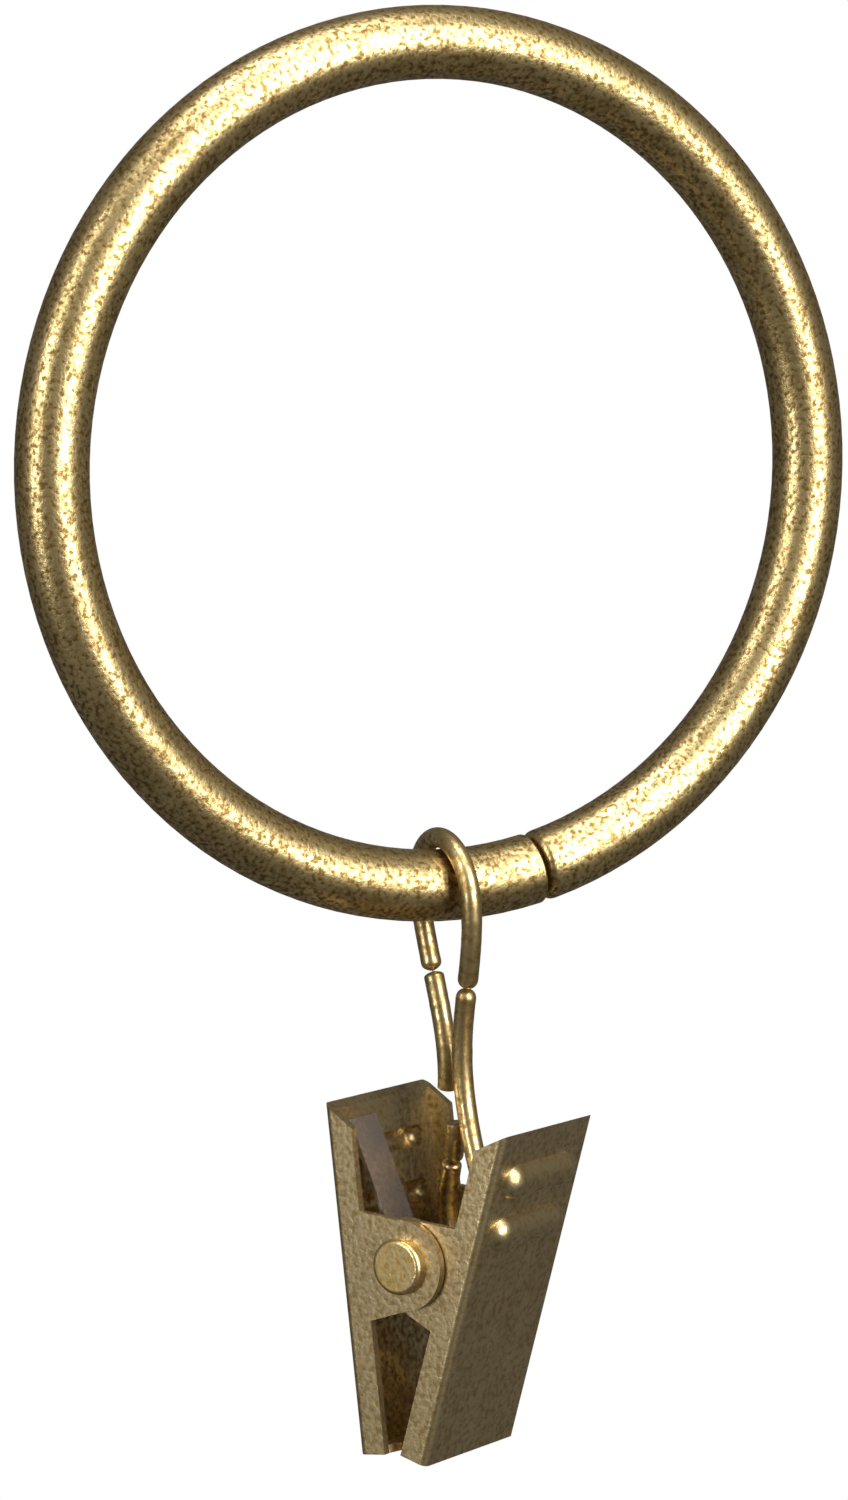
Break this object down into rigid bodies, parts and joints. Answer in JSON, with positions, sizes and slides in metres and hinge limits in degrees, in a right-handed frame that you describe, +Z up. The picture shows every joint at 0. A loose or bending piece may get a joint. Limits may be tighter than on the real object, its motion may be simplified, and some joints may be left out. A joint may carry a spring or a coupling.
{
  "type": "curtain ring with clip",
  "caption": "Antique brass curtain ring with a wire hook carrying a sprung two-jaw clip that grips the top edge of a curtain.",
  "frame": {"origin": "centre of the ring", "axes": "+Y along the ring's axis (the curtain rod), +Z up, clip hanging towards -Z"},
  "size_m": [0.0598, 0.0173, 0.0949],
  "materials": {
    "ring_brass": "antique brushed brass, speckled",
    "wire_brass": "antique brass wire",
    "clip_brass": "antique brass, mottled",
    "rivet_brass": "antique brass",
    "spring_steel": "plain spring strip"
  },
  "bodies": {
    "ring": {"ring": "ring_brass"},
    "hook": {"hook_wire": "wire_brass"},
    "clip": {"rear_jaw": "clip_brass", "pivot_rivet": "rivet_brass", "leaf_spring": "spring_steel"},
    "front_jaw": {"front_jaw": "clip_brass"}
  },
  "joints": [
    {"name": "hook_swing", "type": "hinge", "parent": "ring", "child": "hook", "pos_m": [0, 0, -0.02748], "axis": [1, 0, 0], "range_deg": [-90, 90]},
    {"name": "clip_swivel", "type": "hinge", "parent": "hook", "child": "clip", "pos_m": [0.00212, 0, -0.05169], "axis": [0.866, 0.5, 0], "range_deg": [-8, 8]},
    {"name": "jaw_open", "type": "hinge", "parent": "clip", "child": "front_jaw", "pos_m": [0.00212, 0, -0.05169], "axis": [0.866, 0.5, 0], "range_deg": [-16, 0], "stiffness_Nm_per_rad": 0.05, "springref_deg": 20.05, "deforming": ["leaf_spring"]}
  ]
}
